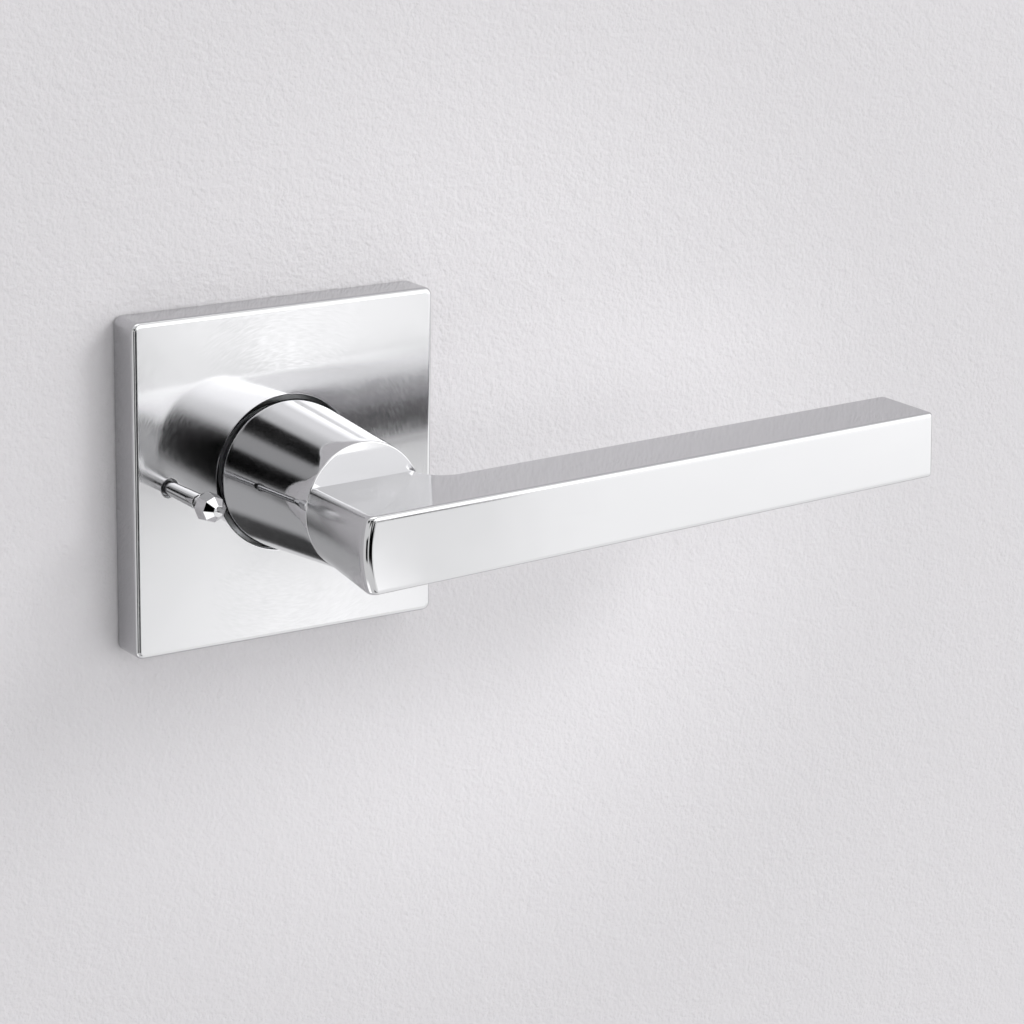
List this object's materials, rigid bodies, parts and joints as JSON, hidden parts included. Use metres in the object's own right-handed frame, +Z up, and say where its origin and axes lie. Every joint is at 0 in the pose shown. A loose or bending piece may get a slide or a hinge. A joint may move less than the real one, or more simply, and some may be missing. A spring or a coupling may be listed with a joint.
{
  "type": "door lever handle",
  "caption": "Interior door lever with a square rose, a tapering round neck, a rectangular arm that turns both ways on a return spring, and a push pin that sets the privacy lock.",
  "frame": {"origin": "where the spindle's axis crosses the face of the door", "axes": "+Z up, +X along the lever's arm, +Y from the room into the door; the trim stands on the -Y side and the spindle, bolts and rod reach into +Y"},
  "size_m": [0.1532, 0.11, 0.0666],
  "materials": {
    "polished_chrome": "polished, mirror bright, with faint fine scratches",
    "pressed_steel": "plain zinc-plated pressed steel, dull",
    "spring_steel": "dark tempered steel with a light oil film",
    "zinc_screw": "zinc-plated steel screw",
    "nylon": "black glass-filled nylon, satin"
  },
  "bodies": {
    "trim": {"case_cover": "pressed_steel", "detent_leaf": "spring_steel", "mounting_plate": "pressed_steel", "neck_bush": "nylon", "return_spring": "spring_steel", "rod_guide": "nylon", "rose_clip_left": "spring_steel", "rose_clip_lower": "spring_steel", "rose_clip_right": "spring_steel", "rose_clip_upper": "spring_steel", "rose_cover": "polished_chrome", "spring_anchor": "pressed_steel", "spring_case": "pressed_steel", "through_bolt_lower": "zinc_screw", "through_bolt_upper": "zinc_screw"},
    "lever": {"lever_handle": "polished_chrome", "set_screw": "zinc_screw", "drive_sleeve": "pressed_steel", "spindle": "pressed_steel", "spring_driver": "pressed_steel", "retaining_ring": "spring_steel", "thrust_washer": "pressed_steel"},
    "privacy_pin": {"pin_head": "polished_chrome", "pin_shaft": "polished_chrome", "pin_yoke": "pressed_steel", "lock_rod": "pressed_steel"}
  },
  "joints": [
    {"name": "lever_turn", "type": "hinge", "parent": "trim", "child": "lever", "pos_m": [0, 0, 0], "axis": [0, 1, 0], "range_deg": [-45, 45], "stiffness_Nm_per_rad": 2, "springref_deg": -3.59, "deforming": ["return_spring"]},
    {"name": "pin_push", "type": "slide", "parent": "trim", "child": "privacy_pin", "axis": [0, 1, 0], "range_m": [0, 0.0032]}
  ]
}
